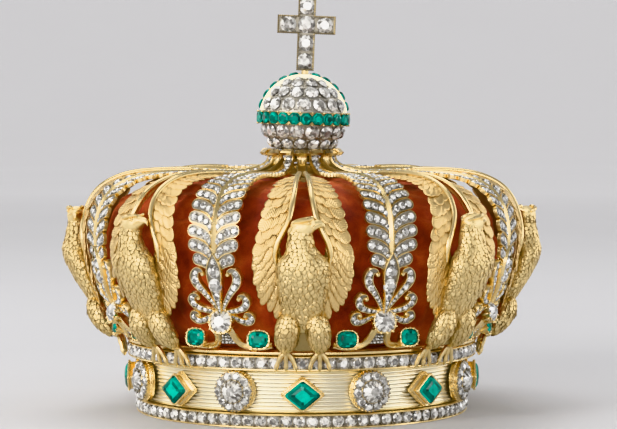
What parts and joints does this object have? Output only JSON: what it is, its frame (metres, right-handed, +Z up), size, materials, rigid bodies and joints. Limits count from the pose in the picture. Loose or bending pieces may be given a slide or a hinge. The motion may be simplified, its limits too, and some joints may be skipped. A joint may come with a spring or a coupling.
{
  "type": "jewelled crown",
  "caption": "Domed gold crown: stone-set circlet, eagle arches alternating with diamond palmettes, red velvet cap, and an orb and cross that turn on a stud.",
  "frame": {"origin": "centre of the circlet's foot, on the surface that the crown stands on", "axes": "+Z up through the orb; -Y is the front, where the first eagle faces; +X is to the right of a person looking at the front"},
  "size_m": [0.1494, 0.1494, 0.1286],
  "materials": {
    "polished_gold": "bright polished yellow gold",
    "chased_gold": "finely chased satin yellow gold",
    "diamonds": "close-set cut diamonds in silver with gold edges",
    "emerald": "polished step-cut emeralds in gold collets",
    "velvet": "soft rust-red velvet",
    "leather": "plain tan lining leather"
  },
  "bodies": {
    "crown_frame": {"circlet_band": "polished_gold", "arch_ledge": "polished_gold", "crossing_boss": "polished_gold", "lower_stone_rim": "diamonds", "upper_stone_rim": "diamonds", "leather_headband": "leather", "velvet_cap": "velvet", "eagle_1": "chased_gold", "eagle_2": "chased_gold", "eagle_3": "chased_gold", "eagle_4": "chased_gold", "eagle_5": "chased_gold", "eagle_6": "chased_gold", "eagle_7": "chased_gold", "eagle_8": "chased_gold", "palmette_1": "diamonds", "palmette_2": "diamonds", "palmette_3": "diamonds", "palmette_4": "diamonds", "palmette_5": "diamonds", "palmette_6": "diamonds", "palmette_7": "diamonds", "palmette_8": "diamonds", "palmette_foot_1": "polished_gold", "palmette_foot_2": "polished_gold", "palmette_foot_3": "polished_gold", "palmette_foot_4": "polished_gold", "palmette_foot_5": "polished_gold", "palmette_foot_6": "polished_gold", "palmette_foot_7": "polished_gold", "palmette_foot_8": "polished_gold", "diamond_cluster_1": "diamonds", "diamond_cluster_2": "diamonds", "diamond_cluster_3": "diamonds", "diamond_cluster_4": "diamonds", "diamond_cluster_5": "diamonds", "diamond_cluster_6": "diamonds", "diamond_cluster_7": "diamonds", "diamond_cluster_8": "diamonds", "emerald_lozenge_1": "emerald", "emerald_lozenge_2": "emerald", "emerald_lozenge_3": "emerald", "emerald_lozenge_4": "emerald", "emerald_lozenge_5": "emerald", "emerald_lozenge_6": "emerald", "emerald_lozenge_7": "emerald", "emerald_lozenge_8": "emerald"},
    "finial": {"orb_lower_shell": "diamonds", "orb_upper_shell": "diamonds", "orb_emerald_belt": "emerald", "orb_emerald_bow": "emerald", "cross": "diamonds", "orb_stud": "polished_gold", "orb_collar": "polished_gold", "orb_washer": "polished_gold", "orb_nut": "polished_gold"}
  },
  "joints": [
    {"name": "finial_turn", "type": "hinge", "parent": "crown_frame", "child": "finial", "pos_m": [0, 0, 0.0772], "axis": [0.0349, 0, 0.9994], "continuous": true}
  ]
}
